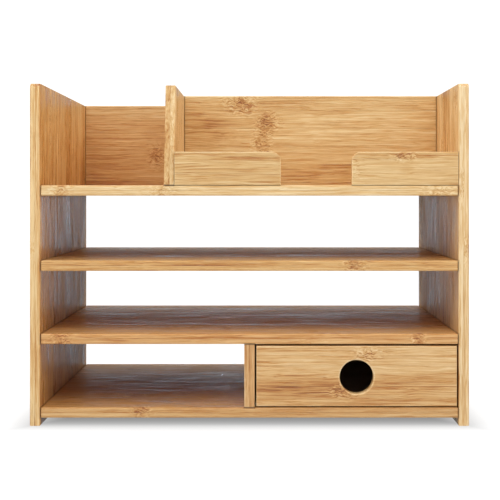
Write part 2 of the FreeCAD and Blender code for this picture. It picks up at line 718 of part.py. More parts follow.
def deck_fasteners(doc, screw, dowel):
    """The thin screws and dowels that hold the boards on the deck."""
    levels = [f"{DECK_Z} + {z}" for z in ("low_fixing", "high_fixing")]
    left, right = f"-{HALF_WIDTH} + board", f"{HALF_WIDTH} - board"
    rear_row = "overall_depth / 2 - thin_board / 2"
    middle_row = f"{FRONT} + partition_setback + thin_board / 2"
    start = f"{DIVIDER_X} + board"
    ends = {
        "back_panel_left_dowels": (f"{left} - dowel_seat", rear_row, "right"),
        "back_panel_right_dowels": (f"{right} + dowel_seat", rear_row, "left"),
        "partition_left_dowels": (f"{start} - dowel_seat", middle_row, "right"),
        "partition_right_dowels": (f"{right} + dowel_seat", middle_row, "left"),
    }
    for name, (x, y, direction) in ends.items():
        fasteners(doc, name, dowel, direction, [(x, y, z) for z in levels])
    z = f"{TOP_SHELF_Z} + head_sink"
    places = [(x, middle_row, z) for x in partition_screws(start)]
    fasteners(doc, "partition_screws", screw, "up", places)
    rear_face = "overall_depth / 2 - head_sink"
    places = [(f"{left} + {x}", rear_face, f"{TOP_SHELF_Z} + board / 2") for x in edge_screws()]
    places += [(f"{DIVIDER_X} + board / 2", rear_face, z) for z in levels]
    fasteners(doc, "back_panel_screws", screw, "forward", places)
    z = f"{DECK_Z} - dowel_seat"
    for name, lip_start in zip(("left_lip_dowels", "right_lip_dowels"), lip_starts()):
        columns = [f"{left} + {x}" for x in lip_dowels(lip_start)]
        places = [(x, f"{FRONT} + lip_board / 2", z) for x in columns]
        fasteners(doc, name, dowel, "up", places)


def drawer_fasteners(doc, stop_screw, dowel):
    places = [
        (f"{STOP_X} + {x}", f"{STOP_Y} + stop_section / 2", f"{BAY_FLOOR_Z} + stop_section - head_sink")
        for x in stop_screws()
    ]
    fasteners(doc, "drawer_stop_screws", stop_screw, "down", places)
    levels = [f"{DRAWER_BOX_Z} + {z}" for z in ("drawer_low_dowel", "drawer_high_dowel")]
    left = f"{DRAWER_BOX_X} + thin_board / 2"
    right = f"{DRAWER_BOX_X} + {DRAWER_BOX_WIDTH} - thin_board / 2"
    y = f"{FRONT} + board - dowel_seat"
    places = [(x, y, z) for x in (left, right) for z in levels]
    fasteners(doc, "drawer_front_dowels", dowel, "back", places)
    y = f"{DRAWER_REAR_Y} - thin_board / 2"
    inner_left = f"{DRAWER_BOX_X} + thin_board"
    inner_right = f"{DRAWER_BOX_X} + {DRAWER_BOX_WIDTH} - thin_board"
    places = [(f"{inner_left} - thin_dowel_seat", y, z) for z in levels]
    fasteners(doc, "drawer_back_left_dowels", dowel, "right", places)
    places = [(f"{inner_right} + thin_dowel_seat", y, z) for z in levels]
    fasteners(doc, "drawer_back_right_dowels", dowel, "left", places)


def build(doc):
    make_sheet(doc)
    side_panel(doc, "left_side_panel", "left")
    side_panel(doc, "right_side_panel", "right")
    bottom_shelf(doc)
    middle_shelf(doc)
    shelf(doc, "upper_shelf", "overall_depth")
    top_shelf(doc)
    upper_divider(doc)
    partition(doc)
    back_panel(doc)
    left_start, right_start = lip_starts()
    front_lip(doc, "left_front_lip", left_start, "lip_length")
    front_lip(doc, "right_front_lip", right_start, "0")
    lower_divider(doc)
    drawer_stop(doc)
    drawer_front(doc)
    drawer_side(doc, "drawer_left_side", "right")
    drawer_side(doc, "drawer_right_side", "left")
    drawer_back(doc)
    drawer_bottom(doc)
    sub_parts = [o for o in doc.Objects if o.TypeId == "PartDesign::Body"]
    long_screw = screw_template(
        doc, "long_screw_template", "long_screw", "long_screw_length", "long_screw_head"
    )
    thin_screw = screw_template(
        doc, "thin_screw_template", "thin_screw", "thin_screw_length", "thin_screw_head"
    )
    short_screw = screw_template(
        doc, "short_screw_template", "thin_screw", "short_screw_length", "thin_screw_head"
    )
    thick_dowel = dowel_template(doc, "thick_dowel_template", "thick_dowel", "thick_dowel_length")
    thin_dowel = dowel_template(doc, "thin_dowel_template", "thin_dowel", "thin_dowel_length")
    shelf_fasteners(doc, long_screw, thick_dowel)
    divider_fasteners(doc, long_screw, thick_dowel)
    deck_fasteners(doc, thin_screw, thin_dowel)
    drawer_fasteners(doc, short_screw, thin_dowel)
    return sub_parts + [o for o in doc.Objects if o.TypeId == "Part::Compound"]


def check(doc, sub_parts):
    """Stops the script if anything failed to build."""
    for item in doc.Objects:
        if {"Invalid", "Error"} & set(item.State):
            raise RuntimeError(f"{item.Label} failed: {item.State}")
    for item in sub_parts:
        if item.Shape.isNull() or not item.Shape.isValid() or not item.Shape.Solids:
            raise RuntimeError(f"{item.Label} has no valid shape")


def export(sub_parts):
    os.makedirs("parts", exist_ok=True)
    for item in sub_parts:
        item.Shape.exportStep(f"parts/{item.Label}.step")
        print(f"{item.Label}: {len(item.Shape.Solids)} solids, {item.Shape.Volume:.0f} mm3")


def main():
    doc = FreeCAD.newDocument("desk_hutch")
    sub_parts = build(doc)
    doc.recompute()
    check(doc, sub_parts)
    export(sub_parts)


main()
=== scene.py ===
"""The looks of the bamboo desk hutch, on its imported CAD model.

Every board keeps its CAD mesh and gets a bamboo material of its own, worked out in the board's own
directions: along the grain, across it, and through the thickness.
"""

import math
from collections import namedtuple

import bpy
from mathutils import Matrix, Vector


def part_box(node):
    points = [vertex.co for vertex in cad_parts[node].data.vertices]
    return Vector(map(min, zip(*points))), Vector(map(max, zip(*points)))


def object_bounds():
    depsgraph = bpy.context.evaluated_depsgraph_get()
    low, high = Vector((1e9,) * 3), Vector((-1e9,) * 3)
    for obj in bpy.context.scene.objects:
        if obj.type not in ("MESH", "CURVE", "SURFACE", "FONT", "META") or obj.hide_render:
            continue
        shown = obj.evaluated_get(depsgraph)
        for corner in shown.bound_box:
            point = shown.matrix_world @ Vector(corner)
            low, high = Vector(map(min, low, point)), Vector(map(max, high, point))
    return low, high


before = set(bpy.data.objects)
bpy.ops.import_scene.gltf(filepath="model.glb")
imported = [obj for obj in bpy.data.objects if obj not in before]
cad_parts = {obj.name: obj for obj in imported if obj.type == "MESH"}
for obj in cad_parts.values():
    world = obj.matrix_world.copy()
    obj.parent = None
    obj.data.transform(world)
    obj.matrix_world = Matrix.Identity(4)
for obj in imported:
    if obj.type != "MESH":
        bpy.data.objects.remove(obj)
cad_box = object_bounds()

AXES = "xyz"
MM = 0.001

# Boards meet where they are at most TOUCH apart over more than CONTACT, in millimetres. JOINT is how
# far the dark line of a joint reaches on each board, fading from JOINT_CORE of that, and a lip's joints
# reach LIP_JOINT less. FAR is beyond any joint.
TOUCH = 0.3
CONTACT = 1.0
FAR = 1000.0
JOINT = 1.1
JOINT_CORE = 0.4
LIP_JOINT = 0.4
JOINT_COLOUR = (0.06, 0.018, 0.003, 1.0)

# The strips that a board is glued from, the glue lines between them and between its two plies, and how
# far in its edges are rounded, in millimetres. A line or an edge starts to fade at LINE_CORE of that.
STRIP = 19.5
GLUE_LINE = 0.35
PLY_LINE = 0.3
ARRIS = 1.3
LINE_CORE = 0.3

# How far the strips of the second ply are offset, and those of each next board, as shares of a strip.
PLY_OFFSET = 0.45
BOARD_OFFSET = 0.31

# Knots that come in rows: how far apart they are and how far they wobble, in millimetres, how fast they
# wobble across the board and through it, which strips have them by their tone, and how much the rows
# are shifted from strip to strip and from board to board.
KNOT_SPACING = 265
KNOT_WOBBLE = 10.0
KNOT_WOBBLE_SCALE = (1.0, 0.35, 0.35)
KNOTTY_TONES = (0.5, 0.75)
STRIP_BEAT = 5.0
BOARD_BEAT = 0.37

# Where the core and the halo of a knot fade, in millimetres in a row, and for a listed knot as
# shares of its size. A listed shade fades likewise, and the rim of a hole in millimetres.
ROW_CORE = (0.5, 6.5)
ROW_HALO = (2.0, 24.0)
ROW_STRENGTH = 0.8
KNOT_CORE = (0.3, 1.25)
KNOT_HALO = (0.6, 2.3)
SHADE_FADE = (0.2, 1.5)
HOLE_RIM = (0.6, 2.0)

# The fibres of each strip come from another stretch of cane, up to STRIP_SHIFT away along and across.
# They drift to and fro, and swirl near a knot. All in millimetres, and the scales per millimetre.
STRIP_SHIFT = (400.0, 37.0)
DRIFT_SCALE = (0.016, 0.06, 0.06)
DRIFT = (0.0, 4.0, 4.0)
SWIRL_SCALE = (0.12, 0.1, 0.1)
SWIRL = (4.0, 10.0, 10.0)

# Streaks along the grain: how long and how wide they are in millimetres, and how detailed. A contour
# line runs where the noise of CONTOURS is within CONTOUR_LINE of its middle, and rub is wear.
STREAKS = {
    "bands": (190, 8.5, 1.0),
    "patches": (45, 6.5, 3.0),
    "grain": (130, 2.3, 2.0),
    "fibres": (60, 1.0, 2.0),
    "hairs": (16, 0.38, 2.0),
    "squiggles": (8.0, 1.4, 2.0),
}
STREAK_CONTRAST = (0.3, 0.7)
STREAK_ROUGHNESS = 0.55
CONTOURS = (180, 3.6, 1.0)
CONTOUR_LINE = 0.035
RUB_SCALE = (0.02, 0.03, 0.03)
RUB_ROUGHNESS = 0.6

# How much of each shows in the wood's light and dark, in its roughness and in its relief.
FIGURE = {"tone": 0.18, "bands": 0.1, "patches": 0.09, "grain": 0.17, "fibres": 0.3, "hairs": 0.18}
GLOSS = {"fibres": 0.14, "patches": 0.3, "bands": 0.1, "tone": 0.12, "rub": 0.1}
RELIEF = {
    "bands": 0.6, "patches": 0.8, "fibres": 0.5, "hairs": 0.35,
    "lines": -0.25, "glue": -0.5, "laminate": -0.5,
}

# How squarely a face has to be turned to count as an edge or an end, and as half turned.
SQUARELY = (0.9, 1.0)
HALF_TURNED = (0.3, 0.7)

# How much lighter each of these makes the wood, which is LIGHT on a scale from 0 to 1.
LIGHT = 0.6
LIGHTER = {
    "lines": -0.16, "glue": -0.12, "laminate": -0.16, "squiggles": 0.56, "core": -0.18,
    # rim is a painted highlight round the rim of a hole.
    "end": -0.12, "rim": 0.25,
}

# The wood's roughness and what a joint adds to it, how much the lacquer mirrors, and how deep the
# relief is in metres.
ROUGHNESS = 0.4
JOINT_ROUGHNESS = 0.5
LACQUER = 0.62
DEPTH = 0.00028

# What tells one board from another. grain, across and thick are row axes. tint multiplies the board's
# colour, edge makes its narrow faces lighter, plies tells its two plies apart, arris makes its edges
# lighter, partly as paler sanded edges and partly as a painted highlight, and where it is negative, as
# on the side panels, darker with a little painted shade, and seam is how dark its joints are, on its
# broad faces and on its narrow ones. Each knot is (along the grain, across it, length, width) in
# millimetres from the board's lowest corner, and each shade is the same with how much lighter it makes
# the wood; most shades are the wood's own tone, and those marked below are painted shade and painted
# sheen. hole is the middle and the radius of a hole, whose rim is lighter with a painted highlight, and
# rows is how strong the knots are that come in rows.
Board = namedtuple(
    "Board",
    "grain across thick tint edge contrast plies arris seam knots shades hole rows",
    defaults=((1.0, 1.0, 1.0), 0.0, 1.0, 0.0, 0.16, (0.28, 0.97), (), (), None, 1.0),
)

BOARDS = {
    "left_side_panel": Board(
        "z", "y", "x", (0.98, 0.91, 0.77), 0.3, 1.4, -0.03, -0.05, (0.25, 0.3),
        knots=[(295, 46, 26, 3)],
        # Painted shade low in the upper compartment's rear corner, the front edge darker lower down,
        # and a painted sheen near the top.
        shades=[(240, 237, 45, 60, -0.14), (60, 0, 150, 12, -0.08), (330, 120, 40, 150, 0.1)],
    ),
    "right_side_panel": Board(
        "z", "y", "x", (1.03, 1.03, 1.02), 0.22, 1.35, 0.03, -0.02, (0.25, 0.3),
        knots=[(262, 90, 9, 7)],
        shades=[(40, 0, 170, 12, -0.16)],
    ),
    "bottom_shelf": Board(
        # The tint, darker than the shelves above, is partly painted shade on the bottom compartment,
        # and edge makes the narrow faces lighter again; the shade in the middle of the shelf is painted
        # shade.
        "x", "y", "z", (0.86, 0.73, 0.57), 0.13,
        knots=[(97, 0, 7, 5)],
        shades=[(110, 120, 90, 80, -0.3)],
    ),
    "middle_shelf": Board(
        "x", "y", "z", (0.96, 0.82, 0.67), 0.05,
        knots=[(361, 0, 5, 4), (20, 0, 7, 5)],
    ),
    "upper_shelf": Board(
        "x", "y", "z", (1.0, 0.94, 0.82), 0.08,
        knots=[(300, 0, 8, 5)],
    ),
    "top_shelf": Board(
        "x", "y", "z", (1.02, 1.02, 0.98), 0.16, seam=(0.28, 0.7),
        knots=[(20, 0, 7, 4)],
    ),
    "upper_divider": Board("z", "y", "x", (0.98, 0.98, 0.94), 0.08, plies=0.16, seam=(0.4, 0.8)),
    "lower_divider": Board("z", "y", "x", (0.95, 0.88, 0.84), 0.0, plies=-0.1, seam=(0.28, 0.6)),
    "partition_panel": Board(
        "x", "z", "y", (1.06, 1.12, 1.1), seam=(0.6, 0.6),
        knots=[(61, 90, 13, 9), (89, 69, 9, 8), (84, 48, 7, 15)],
        shades=[
            (20, 62, 26, 18, -0.22), (89, 67, 10, 11, -0.2),
            (190, 82, 90, 18, 0.07), (200, 20, 90, 20, -0.05),
        ],
        rows=0.15,
    ),
    "back_panel": Board(
        "x", "z", "y", (1.0, 0.95, 0.84), seam=(0.5, 0.5),
        knots=[(85, 46, 7, 10)],
        # Painted shade in the lower left corner.
        shades=[(5, 5, 60, 45, -0.2)],
    ),
    "left_front_lip": Board("x", "z", "y", (1.0, 1.03, 1.02), seam=(0.5, 0.5)),
    "right_front_lip": Board(
        "x", "z", "y", (1.0, 1.02, 1.0), seam=(0.45, 0.45),
        knots=[(49, 28, 8, 4)],
    ),
    "drawer_front": Board(
        "x", "z", "y", (1.02, 1.0, 0.98),
        knots=[(84, 15, 9, 5), (107, 50, 9, 5)],
        shades=[(45, 19, 55, 10, -0.26), (145, 20, 45, 8, -0.16), (100, 46, 120, 12, 0.1)],
        hole=(95.9, 28, 16.2),
    ),
    "drawer_left_side": Board("y", "z", "x"),
    "drawer_right_side": Board("y", "z", "x"),
    "drawer_back": Board("x", "z", "y"),
    "drawer_stop": Board("x", "y", "z"),
}


# The sockets of a Mix node that mixes colours.
MIX_SHARE, MIX_A, MIX_B, MIX_RESULT = 0, 6, 7, 2


class Graph:
    """Adds nodes to one node tree. Each method returns the new node's output."""

    def __init__(self, tree):
        self.tree = tree
        tree.nodes.clear()

    def node(self, kind, inputs, output=0, **settings):
        node = self.tree.nodes.new(f"ShaderNode{kind}")
        for name, value in settings.items():
            setattr(node, name, value)
        for key, value in inputs.items():
            self.feed(node.inputs[key], value)
        return node.outputs[output] if node.outputs else None

    def feed(self, socket, value):
        if isinstance(value, bpy.types.NodeSocket):
            self.tree.links.new(value, socket)
        else:
            socket.default_value = value

    def math(self, operation, *values):
        return self.node("Math", dict(enumerate(values)), operation=operation)

    def add(self, *values):
        total = values[0]
        for value in values[1:]:
            total = self.math("ADD", total, value)
        return total

    def times(self, a, b):
        return self.math("MULTIPLY", a, b)

    def minus(self, a, b):
        return self.math("SUBTRACT", a, b)

    def centred(self, value, size):
        """A value from 0 to 1, turned into one from -size / 2 to size / 2."""
        return self.node("Math", {0: value, 1: size, 2: -size / 2}, operation="MULTIPLY_ADD")

    def ease(self, value, start, end, low=0.0, high=1.0):
        """Goes smoothly from low to high as value goes from start to end."""
        inputs = {"Value": value, "From Min": start, "From Max": end, "To Min": low, "To Max": high}
        return self.node("MapRange", inputs, interpolation_type="SMOOTHSTEP")

    def vector(self, x, y, z):
        return self.node("CombineXYZ", {0: x, 1: y, 2: z})

    def vector_math(self, operation, a, b=(0.0, 0.0, 0.0)):
        return self.node("VectorMath", {0: a, 1: b}, operation=operation)

    def length(self, vector):
        return self.node("VectorMath", {0: vector}, "Value", operation="LENGTH")

    def scaled(self, vector, scale):
        return self.vector_math("MULTIPLY", vector, scale)

    def parts(self, vector):
        """The three components of a vector."""
        first = self.node("SeparateXYZ", {0: vector})
        return list(first.node.outputs)

    def place(self):
        """Where the surface is in the row frame, in metres."""
        return self.node("TexCoord", {}, "Object")

    def noise(self, place, scale, detail=2.0, roughness=0.5, output=0):
        place = self.scaled(place, scale)
        inputs = {"Vector": place, "Scale": 1.0, "Detail": detail, "Roughness": roughness}
        return self.node("TexNoise", inputs, output)

    def wander(self, place, scale, detail, amount):
        """A vector that changes smoothly from place to place, up to half of amount each way."""
        shift = self.noise(place, scale, detail, 0.5, "Color")
        return self.scaled(self.vector_math("SUBTRACT", shift, (0.5, 0.5, 0.5)), amount)

    def weighed(self, signals, weights):
        """The sum of some signals from 0 to 1, each centred on 0 and with its own weight."""
        return self.add(*(self.centred(signals[name], weight) for name, weight in weights.items()))

    def ramp(self, value, stops):
        output = self.node("ValToRGB", {0: value})
        elements = output.node.color_ramp.elements
        while len(elements) < len(stops):
            elements.new(1.0)
        for element, (position, colour) in zip(elements, stops):
            element.position = position
            element.color = (*colour, 1.0)
        return output

    def mix(self, share, a, b, blend="MIX"):
        inputs = {MIX_SHARE: share, MIX_A: a, MIX_B: b}
        return self.node(
            "Mix", inputs, MIX_RESULT, data_type="RGBA", blend_type=blend, clamp_factor=True
        )


def new_material(name):
    material = bpy.data.materials.new(name)
    material.use_nodes = True
    return material, Graph(material.node_tree)


def finish_material(graph, colour, roughness, height, relief, **constants):
    """Ends a material in a Principled shader with a bump. relief is the bump's depth in metres."""
    normal = graph.node("Bump", {"Height": height, "Distance": relief, "Strength": 1.0})
    inputs = {"Base Color": colour, "Roughness": roughness, "Normal": normal}
    shader = graph.node("BsdfPrincipled", inputs)
    for name, value in constants.items():
        shader.node.inputs[name.replace("_", " ")].default_value = value
    graph.node("OutputMaterial", {"Surface": shader})


# From dark to light.
BAMBOO_COLOURS = (
    (0.0, (0.24, 0.07, 0.012)),
    (0.25, (0.45, 0.17, 0.032)),
    (0.45, (0.61, 0.32, 0.098)),
    (0.6, (0.70, 0.42, 0.165)),
    (0.8, (0.79, 0.54, 0.26)),
    (1.0, (0.88, 0.67, 0.39)),
)

# The other materials. Each noise is its scale per metre, its detail and its roughness. figure, gloss
# and relief say how much of each shows in the light and dark, in the roughness and in the relief, whose
# depth is in metres.
Plain = namedtuple("Plain", "noises figure colours roughness gloss relief depth metallic")

# Dark pressed fibre: speckled, smooth, with a faint criss-cross of fibres.
HARDBOARD = Plain(
    noises={
        "specks": ((900, 900, 900), 3.0, 0.7),
        "clouds": ((40, 40, 40), 3.0, 0.6),
        "tangle": ((250, 1500, 400), 2.0, 0.6),
    },
    figure={"specks": 0.6, "clouds": 0.35, "tangle": 0.4},
    colours=((0.0, (0.03, 0.016, 0.009)), (0.5, (0.09, 0.05, 0.028)), (1.0, (0.19, 0.115, 0.065))),
    roughness=0.45, gloss={"clouds": 0.3},
    relief={"specks": 1.0, "tangle": 1.0}, depth=0.00006, metallic=0.0,
)

# Pale turned hardwood.
DOWEL_WOOD = Plain(
    noises={"grain": ((900, 900, 900), 3.0, 0.6), "bands": ((200, 200, 200), 2.0, 0.5)},
    figure={"grain": 0.7, "bands": 0.5},
    colours=((0.0, (0.45, 0.28, 0.14)), (0.5, (0.66, 0.48, 0.3)), (1.0, (0.8, 0.64, 0.45))),
    roughness=0.6, gloss={"grain": 0.2},
    relief={"grain": 1.0}, depth=0.00008, metallic=0.0,
)

# Zinc-plated steel, slightly yellow, with fine tumbling marks.
SCREW_STEEL = Plain(
    noises={"marks": ((1800, 1800, 1800), 3.0, 0.7), "clouds": ((350, 350, 350), 2.0, 0.6)},
    figure={"clouds": 0.9, "marks": 0.3},
    colours=((0.0, (0.42, 0.38, 0.3)), (0.5, (0.62, 0.58, 0.48)), (1.0, (0.74, 0.72, 0.66))),
    roughness=0.34, gloss={"marks": 0.25},
    relief={"marks": 1.0}, depth=0.00002, metallic=1.0,
)


def box_mm(name):
    """The lowest and highest corner of a CAD node, in millimetres."""
    low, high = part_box(name)
    return low / MM, high / MM


def moves(name):
    return name.startswith("drawer_") and name != "drawer_stop"


def contacts(name):
    """The boxes in which a board touches its neighbours, and how much thinner each joint looks than
    most, in millimetres."""
    low, high = box_mm(name)
    boxes = []
    for other in BOARDS:
        if other == name or moves(other) != moves(name):
            continue
        other_low, other_high = box_mm(other)
        shared_low = Vector(max(a, b) for a, b in zip(low, other_low))
        shared_high = Vector(min(a, b) for a, b in zip(high, other_high))
        overlaps = [b - a for a, b in zip(shared_low, shared_high)]
        if min(overlaps) > -TOUCH and sorted(overlaps)[1] > CONTACT:
            thinner = LIP_JOINT if "lip" in name + other else 0.0
            boxes.append((shared_low, shared_high, thinner))
    return boxes


def distance_to_box(graph, place, low, high):
    middle = (low + high) / 2
    half = [abs(b - a) / 2 for a, b in zip(low, high)]
    offset = graph.vector_math("SUBTRACT", place, middle)
    outside = graph.vector_math("SUBTRACT", graph.vector_math("ABSOLUTE", offset), half)
    return graph.length(graph.vector_math("MAXIMUM", outside))


def in_joint(graph, name):
    """How close the surface is to where this board meets another, 0 to 1."""
    place = graph.scaled(graph.place(), (1 / MM, 1 / MM, 1 / MM))
    nearest = FAR
    for low, high, thinner in contacts(name):
        distance = graph.add(distance_to_box(graph, place, low, high), thinner)
        nearest = graph.math("MINIMUM", nearest, distance)
    return graph.ease(nearest, JOINT * JOINT_CORE, JOINT, 1.0, 0.0)


def board_directions(graph, name, board):
    """Millimetres along the grain and across it, both from the lowest corner, and through the thickness
    from the middle of the board."""
    low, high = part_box(name)
    by_axis = dict(zip(AXES, graph.parts(graph.place())))
    starts = dict(zip(AXES, low))
    middles = dict(zip(AXES, (low + high) / 2))
    along = graph.times(graph.minus(by_axis[board.grain], starts[board.grain]), 1 / MM)
    across = graph.times(graph.minus(by_axis[board.across], starts[board.across]), 1 / MM)
    through = graph.times(graph.minus(by_axis[board.thick], middles[board.thick]), 1 / MM)
    return along, across, through


def near_arris(graph, name, board, along, across, through):
    """How close the surface is to an edge of the board, 0 to 1."""
    low, high = box_mm(name)
    size = dict(zip(AXES, high - low))
    to_end = graph.math("MINIMUM", along, graph.minus(size[board.grain], along))
    to_side = graph.math("MINIMUM", across, graph.minus(size[board.across], across))
    to_face = graph.minus(size[board.thick] / 2, graph.math("ABSOLUTE", through))
    nearer = graph.math("MINIMUM", to_end, to_side)
    farther = graph.math("MAXIMUM", to_end, to_side)
    middle = graph.math("MAXIMUM", nearer, graph.math("MINIMUM", farther, to_face))
    return graph.ease(middle, ARRIS * LINE_CORE, ARRIS, 1.0, 0.0)


def facing(graph, axis):
    """How squarely the surface faces along a row axis, 0 to 1."""
    normal = graph.node("NewGeometry", {}, "Normal")
    return graph.math("ABSOLUTE", graph.parts(normal)[AXES.index(axis)])


def spot(graph, place, at, over, length, width):
    """Distance from a point on the board, as a share of an ellipse's size."""
    offset = graph.vector_math("SUBTRACT", place, (at, over, 0))
    return graph.length(graph.scaled(offset, (1 / length, 1 / width, 0)))


def chosen_knots(graph, along, across, knots):
    """The core and the halo of the listed knots, each 0 to 1."""
    core, halo = 0.0, 0.0
    place = graph.vector(along, across, 0.0)
    for knot in knots:
        distance = spot(graph, place, *knot)
        core = graph.math("MAXIMUM", core, graph.ease(distance, *KNOT_CORE, 1.0, 0.0))
        halo = graph.math("MAXIMUM", halo, graph.ease(distance, *KNOT_HALO, 1.0, 0.0))
    return core, halo


def row_knots(graph, board, seed, directions, tone, phase):
    """The core and the halo of the knots that come in rows along some of the strips, each 0 to 1."""
    along, across, through = directions
    wobble = graph.noise(graph.vector(seed, across, through), KNOT_WOBBLE_SCALE)
    beat = graph.add(
        graph.times(along, 1 / KNOT_SPACING), graph.times(phase, STRIP_BEAT), BOARD_BEAT * seed
    )
    to_knot = graph.minus(graph.math("FRACT", beat), 0.5)
    to_knot = graph.add(graph.times(to_knot, KNOT_SPACING), graph.centred(wobble, KNOT_WOBBLE))
    to_knot = graph.math("ABSOLUTE", to_knot)
    knotty = graph.ease(tone, *KNOTTY_TONES, 0.0, board.rows)
    core = graph.times(graph.ease(to_knot, *ROW_CORE, ROW_STRENGTH, 0.0), knotty)
    halo = graph.times(graph.ease(to_knot, *ROW_HALO, ROW_STRENGTH, 0.0), knotty)
    return core, halo


def chosen_shades(graph, along, across, shades):
    """How much lighter the listed shades make the wood."""
    total = 0.0
    place = graph.vector(along, across, 0.0)
    # Some of these shades are painted shade and painted sheen, marked in BOARDS; the rest are the
    # wood's own tone.
    for *where, amount in shades:
        total = graph.add(total, graph.ease(spot(graph, place, *where), *SHADE_FADE, amount, 0.0))
    return total


def hole_rim(graph, along, across, at, over, radius):
    """How close the surface is to the edge of a hole, 0 to 1."""
    offset = graph.vector(graph.minus(along, at), graph.minus(across, over), 0.0)
    near, far = HOLE_RIM
    return graph.ease(graph.length(offset), radius + near, radius + far, 1.0, 0.0)


def strips(graph, across, ply, seed):
    """Three random numbers of the strip that the surface is in, and how close a glue line is."""
    place = graph.add(
        graph.times(across, 1 / STRIP), graph.times(ply, PLY_OFFSET), seed * BOARD_OFFSET
    )
    strip = graph.math("FLOOR", place)
    key = graph.vector(strip, ply, seed)
    chance = graph.node("TexWhiteNoise", {"Vector": key}, "Color", noise_dimensions="3D")
    in_strip = graph.minus(place, strip)
    to_side = graph.times(graph.math("MINIMUM", in_strip, graph.minus(1.0, in_strip)), STRIP)
    glue = graph.ease(to_side, GLUE_LINE * LINE_CORE, GLUE_LINE, 1.0, 0.0)
    return *graph.parts(chance), glue


def fibre_place(graph, directions, tone, shift, halo):
    """Where the surface is among the fibres, in millimetres along, across and through them."""
    along, across, through = directions
    far_along, far_across = STRIP_SHIFT
    along = graph.add(along, graph.times(shift, far_along))
    across = graph.add(across, graph.times(tone, far_across))
    place = graph.vector(along, across, through)
    place = graph.vector_math("ADD", place, graph.wander(place, DRIFT_SCALE, 2.0, DRIFT))
    swirl = graph.wander(place, SWIRL_SCALE, 1.0, SWIRL)
    swirl = graph.node("VectorMath", {0: swirl, "Scale": halo}, operation="SCALE")
    return graph.vector_math("ADD", place, swirl)


def streaks(graph, place, length, width, detail):
    return graph.noise(place, (1 / length, 1 / width, 1 / width), detail, STREAK_ROUGHNESS)


def bamboo(name, board, seed):
    material, graph = new_material(f"bamboo_{name}")
    directions = board_directions(graph, name, board)
    along, across, through = directions
    ply = graph.math("GREATER_THAN", through, 0.0)
    tone, shift, knot_phase, glue = strips(graph, across, ply, seed)
    to_middle = graph.math("ABSOLUTE", through)
    laminate = graph.ease(to_middle, PLY_LINE * LINE_CORE, PLY_LINE, 1.0, 0.0)
    core, halo = chosen_knots(graph, along, across, board.knots)
    row_core, row_halo = row_knots(graph, board, seed, directions, tone, knot_phase)
    core = graph.math("MAXIMUM", core, row_core)
    halo = graph.math("MAXIMUM", halo, row_halo)

    place = fibre_place(graph, directions, tone, shift, halo)
    shows = {"tone": tone, "glue": glue, "laminate": laminate, "core": core}
    for streak, size in STREAKS.items():
        shows[streak] = graph.ease(streaks(graph, place, *size), *STREAK_CONTRAST)
    contour = graph.math("ABSOLUTE", graph.minus(streaks(graph, place, *CONTOURS), 0.5))
    shows["lines"] = graph.ease(contour, 0.0, CONTOUR_LINE, 1.0, 0.0)
    shows["rub"] = graph.noise(place, RUB_SCALE, roughness=RUB_ROUGHNESS)
    shows["end"] = graph.ease(facing(graph, board.grain), *SQUARELY)

    figure = graph.weighed(shows, FIGURE)
    figure = graph.add(figure, graph.times(shows["lines"], LIGHTER["lines"]))
    light = graph.add(
        LIGHT,
        graph.times(figure, board.contrast),
        *(graph.times(shows[part], LIGHTER[part]) for part in ("glue", "laminate", "core", "end")),
        graph.times(graph.centred(shows["squiggles"], LIGHTER["squiggles"]), halo),
        chosen_shades(graph, along, across, board.shades),
        graph.centred(ply, board.plies),
        # Rounded edges lighter, partly as paler sanded edges and partly as a painted highlight; the
        # side panels' negative amount is a little painted shade.
        graph.times(near_arris(graph, name, board, along, across, through), board.arris),
    )
    if board.hole:
        # The rim of the hole is lighter: a painted highlight.
        rim = hole_rim(graph, along, across, *board.hole)
        light = graph.add(light, graph.times(rim, LIGHTER["rim"]))
    turned = facing(graph, board.across)
    light = graph.add(light, graph.times(graph.ease(turned, *SQUARELY), board.edge))
    colour = graph.ramp(light, BAMBOO_COLOURS)
    colour = graph.mix(1.0, colour, (*board.tint, 1.0), "MULTIPLY")
    joint = graph.times(in_joint(graph, name), graph.ease(turned, *HALF_TURNED, *board.seam))
    colour = graph.mix(joint, colour, JOINT_COLOUR)

    roughness = graph.add(
        ROUGHNESS, graph.weighed(shows, GLOSS), graph.times(joint, JOINT_ROUGHNESS)
    )
    height = graph.weighed(shows, RELIEF)
    finish_material(graph, colour, roughness, height, DEPTH, Specular_IOR_Level=LACQUER)
    return material


def plain(name, look):
    material, graph = new_material(name)
    place = graph.place()
    shows = {show: graph.noise(place, *noise) for show, noise in look.noises.items()}
    light = graph.add(0.5, graph.weighed(shows, look.figure))
    colour = graph.ramp(light, look.colours)
    roughness = graph.add(look.roughness, graph.weighed(shows, look.gloss))
    height = graph.weighed(shows, look.relief)
    finish_material(graph, colour, roughness, height, look.depth, Metallic=look.metallic)
    return material


def dress(node, material):
    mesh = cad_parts[node].data
    mesh.materials.clear()
    mesh.materials.append(material)


def dress_all():
    for seed, (name, board) in enumerate(BOARDS.items(), start=1):
        dress(name, bamboo(name, board, seed))
    dress("drawer_bottom", plain("hardboard", HARDBOARD))
    dowel_wood = plain("dowel_wood", DOWEL_WOOD)
    screw_steel = plain("screw_steel", SCREW_STEEL)
    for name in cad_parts:
        if name.endswith("_dowels"):
            dress(name, dowel_wood)
        if name.endswith("_screws"):
            dress(name, screw_steel)


# The studio: a white floor that meets a white backdrop, soft suns all round, and a broad key light
# above the front.

WHITE = (1.0, 1.0, 1.0, 1.0)
BLACK = (0.0, 0.0, 0.0, 1.0)

# The camera looks level along +Y. Its distance is from the hutch's front, in metres, its lens and its
# sensor are in millimetres, and its shift keeps the hutch in the frame.
EYE_HEIGHT = 0.2203
EYE_DISTANCE = 0.973
EYE_SIDE = 0.0143
LENS = 73.3
SENSOR = 36
SHIFT = (-0.0288, -0.1092)

